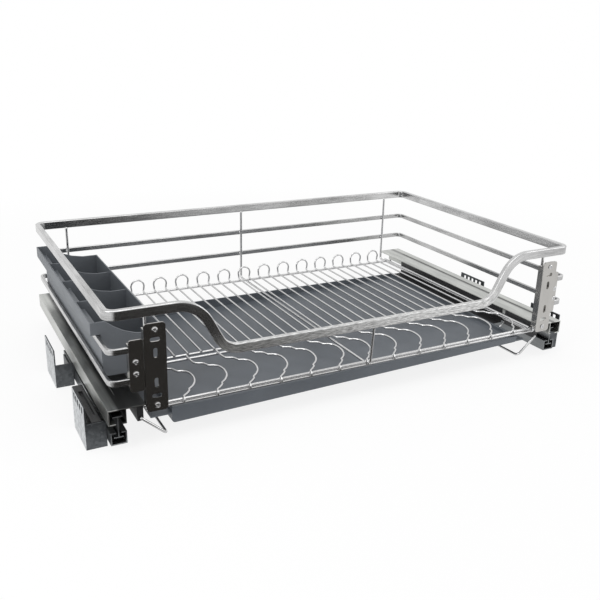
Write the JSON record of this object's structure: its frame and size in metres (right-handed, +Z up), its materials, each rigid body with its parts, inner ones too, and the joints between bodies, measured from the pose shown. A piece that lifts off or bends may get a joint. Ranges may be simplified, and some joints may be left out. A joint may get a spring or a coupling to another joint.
{
  "type": "pull-out pot and dish basket",
  "caption": "Pull-out wire basket for a kitchen base cabinet, on soft-closing slides, with a plate rack, a bowl rack, a drip tray and a divided cutlery box.",
  "frame": {"origin": "on the cabinet's floor, under the middle of the whole part", "axes": "+Z up, +X to the right as seen by the person who pulls the basket out, -Y towards that person"},
  "size_m": [0.764, 0.4538, 0.181],
  "materials": {
    "brushed_steel": "brushed",
    "plate_steel": "polished",
    "zinc_sheet": "galvanised",
    "slide_steel": "zinc plated",
    "chrome_wire": "bright",
    "screw_chrome": "bright",
    "slate_plastic": "satin",
    "black_plastic": "matte"
  },
  "bodies": {
    "cabinet_side": {"wall_bracket_front_left": "zinc_sheet", "wall_bracket_rear_left": "zinc_sheet", "bracket_rivet_front_left": "zinc_sheet", "bracket_rivet_rear_left": "zinc_sheet", "fixed_channel_left": "slide_steel", "soft_closer_left": "black_plastic", "wall_bracket_front_right": "zinc_sheet", "wall_bracket_rear_right": "zinc_sheet", "bracket_rivet_front_right": "zinc_sheet", "bracket_rivet_rear_right": "zinc_sheet", "fixed_channel_right": "slide_steel", "soft_closer_right": "black_plastic"},
    "basket": {"rim": "brushed_steel", "upper_side_rail": "brushed_steel", "lower_side_rail": "brushed_steel", "cradle_frame": "brushed_steel", "front_plate_left": "plate_steel", "front_plate_screw_upper_left": "screw_chrome", "front_plate_screw_lower_left": "screw_chrome", "rail_plate_left": "plate_steel", "rail_plate_screw_upper_left": "screw_chrome", "rail_plate_screw_lower_left": "screw_chrome", "tray_runner_left": "black_plastic", "moving_channel_left": "slide_steel", "lock_housing_left": "black_plastic", "front_plate_right": "plate_steel", "front_plate_screw_upper_right": "screw_chrome", "front_plate_screw_lower_right": "screw_chrome", "rail_plate_right": "plate_steel", "rail_plate_screw_upper_right": "screw_chrome", "rail_plate_screw_lower_right": "screw_chrome", "tray_runner_right": "black_plastic", "moving_channel_right": "slide_steel", "lock_housing_right": "black_plastic"},
    "middle_left": {"middle_bar_left": "slide_steel"},
    "upper_cage_left": {"upper_roller_cage_left": "black_plastic"},
    "lower_cage_left": {"lower_roller_cage_left": "black_plastic"},
    "bail_left": {"release_bail_left": "screw_chrome"},
    "middle_right": {"middle_bar_right": "slide_steel"},
    "upper_cage_right": {"upper_roller_cage_right": "black_plastic"},
    "lower_cage_right": {"lower_roller_cage_right": "black_plastic"},
    "bail_right": {"release_bail_right": "screw_chrome"},
    "plate_rack": {"plate_rack": "chrome_wire"},
    "bowl_rack": {"bowl_rack": "chrome_wire"},
    "drip_tray": {"drip_tray": "slate_plastic"},
    "cutlery_box": {"cutlery_box": "slate_plastic"}
  },
  "joints": [
    {"name": "basket_slide", "type": "slide", "parent": "cabinet_side", "child": "basket", "axis": [0, -1, 0], "range_m": [0, 0.4]},
    {"name": "middle_left_slide", "type": "slide", "parent": "cabinet_side", "child": "middle_left", "axis": [0, -1, 0], "range_m": [0, 0.2]},
    {"name": "lower_cage_left_slide", "type": "slide", "parent": "cabinet_side", "child": "lower_cage_left", "axis": [0, -1, 0], "range_m": [0, 0.1]},
    {"name": "upper_cage_left_slide", "type": "slide", "parent": "middle_left", "child": "upper_cage_left", "axis": [0, -1, 0], "range_m": [0, 0.1]},
    {"name": "middle_right_slide", "type": "slide", "parent": "cabinet_side", "child": "middle_right", "axis": [0, -1, 0], "range_m": [0, 0.2]},
    {"name": "lower_cage_right_slide", "type": "slide", "parent": "cabinet_side", "child": "lower_cage_right", "axis": [0, -1, 0], "range_m": [0, 0.1]},
    {"name": "upper_cage_right_slide", "type": "slide", "parent": "middle_right", "child": "upper_cage_right", "axis": [0, -1, 0], "range_m": [0, 0.1]},
    {"name": "cutlery_box_lift", "type": "slide", "parent": "basket", "child": "cutlery_box", "axis": [0.6429, 0, 0.7659], "range_m": [0, 0.2]},
    {"name": "plate_rack_lift", "type": "slide", "parent": "basket", "child": "plate_rack", "axis": [0, 0, 1], "range_m": [0, 0.01]},
    {"name": "bowl_rack_lift", "type": "slide", "parent": "basket", "child": "bowl_rack", "axis": [0, 0, 1], "range_m": [0, 0.02]},
    {"name": "tray_slide", "type": "slide", "parent": "basket", "child": "drip_tray", "axis": [0, -1, 0], "range_m": [0, 0.35]},
    {"name": "bail_left_hinge", "type": "hinge", "parent": "basket", "child": "bail_left", "pos_m": [-0.3179, -0.1795, 0.0364], "axis": [0, -1, 0], "range_deg": [0, 12]},
    {"name": "bail_right_hinge", "type": "hinge", "parent": "basket", "child": "bail_right", "pos_m": [0.3179, -0.1795, 0.0364], "axis": [0, 1, 0], "range_deg": [0, 12]}
  ],
  "couplings": [
    {"joint": "middle_left_slide", "follows": "basket_slide", "ratio": 0.5},
    {"joint": "lower_cage_left_slide", "follows": "basket_slide", "ratio": 0.25},
    {"joint": "upper_cage_left_slide", "follows": "basket_slide", "ratio": 0.25},
    {"joint": "middle_right_slide", "follows": "basket_slide", "ratio": 0.5},
    {"joint": "lower_cage_right_slide", "follows": "basket_slide", "ratio": 0.25},
    {"joint": "upper_cage_right_slide", "follows": "basket_slide", "ratio": 0.25}
  ]
}
